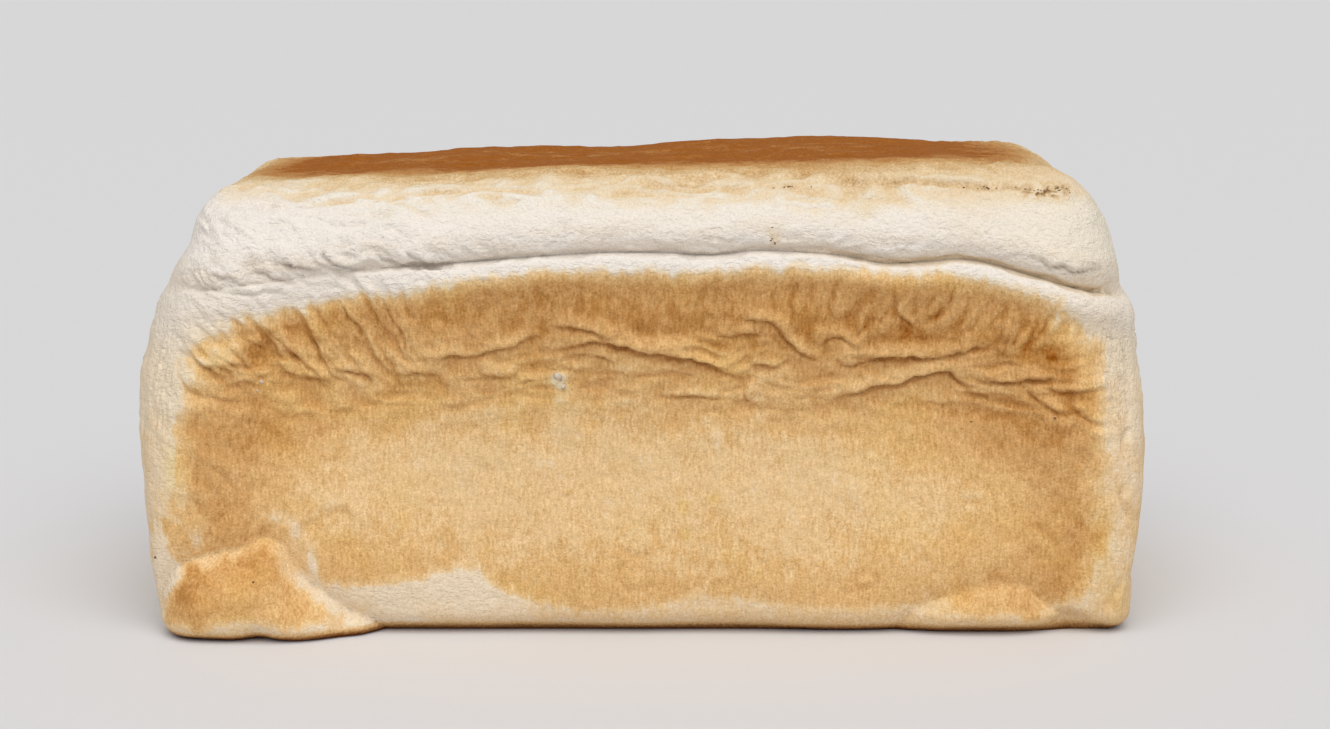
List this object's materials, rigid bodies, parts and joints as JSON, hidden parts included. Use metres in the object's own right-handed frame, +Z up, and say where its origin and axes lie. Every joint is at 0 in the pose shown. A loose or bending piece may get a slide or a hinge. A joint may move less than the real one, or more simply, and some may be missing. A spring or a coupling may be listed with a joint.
{
  "type": "tin loaf",
  "caption": "Whole white bread loaf baked in a lidded tin, with a flat browned top, pale rolled shoulders over a crease, sunken browned sides and tucked lower corners.",
  "frame": {"origin": "on the table, under the middle of the loaf's bounding box", "axes": "+X along the loaf, -Y out of the long side with the big corner tuck, +Z up to the flat browned top"},
  "size_m": [0.2628, 0.127, 0.1214],
  "materials": {
    "crust": "dry baked crust, golden brown where it touched the tin and cream where it did not"
  },
  "bodies": {
    "root": {"loaf": "crust"}
  },
  "joints": []
}
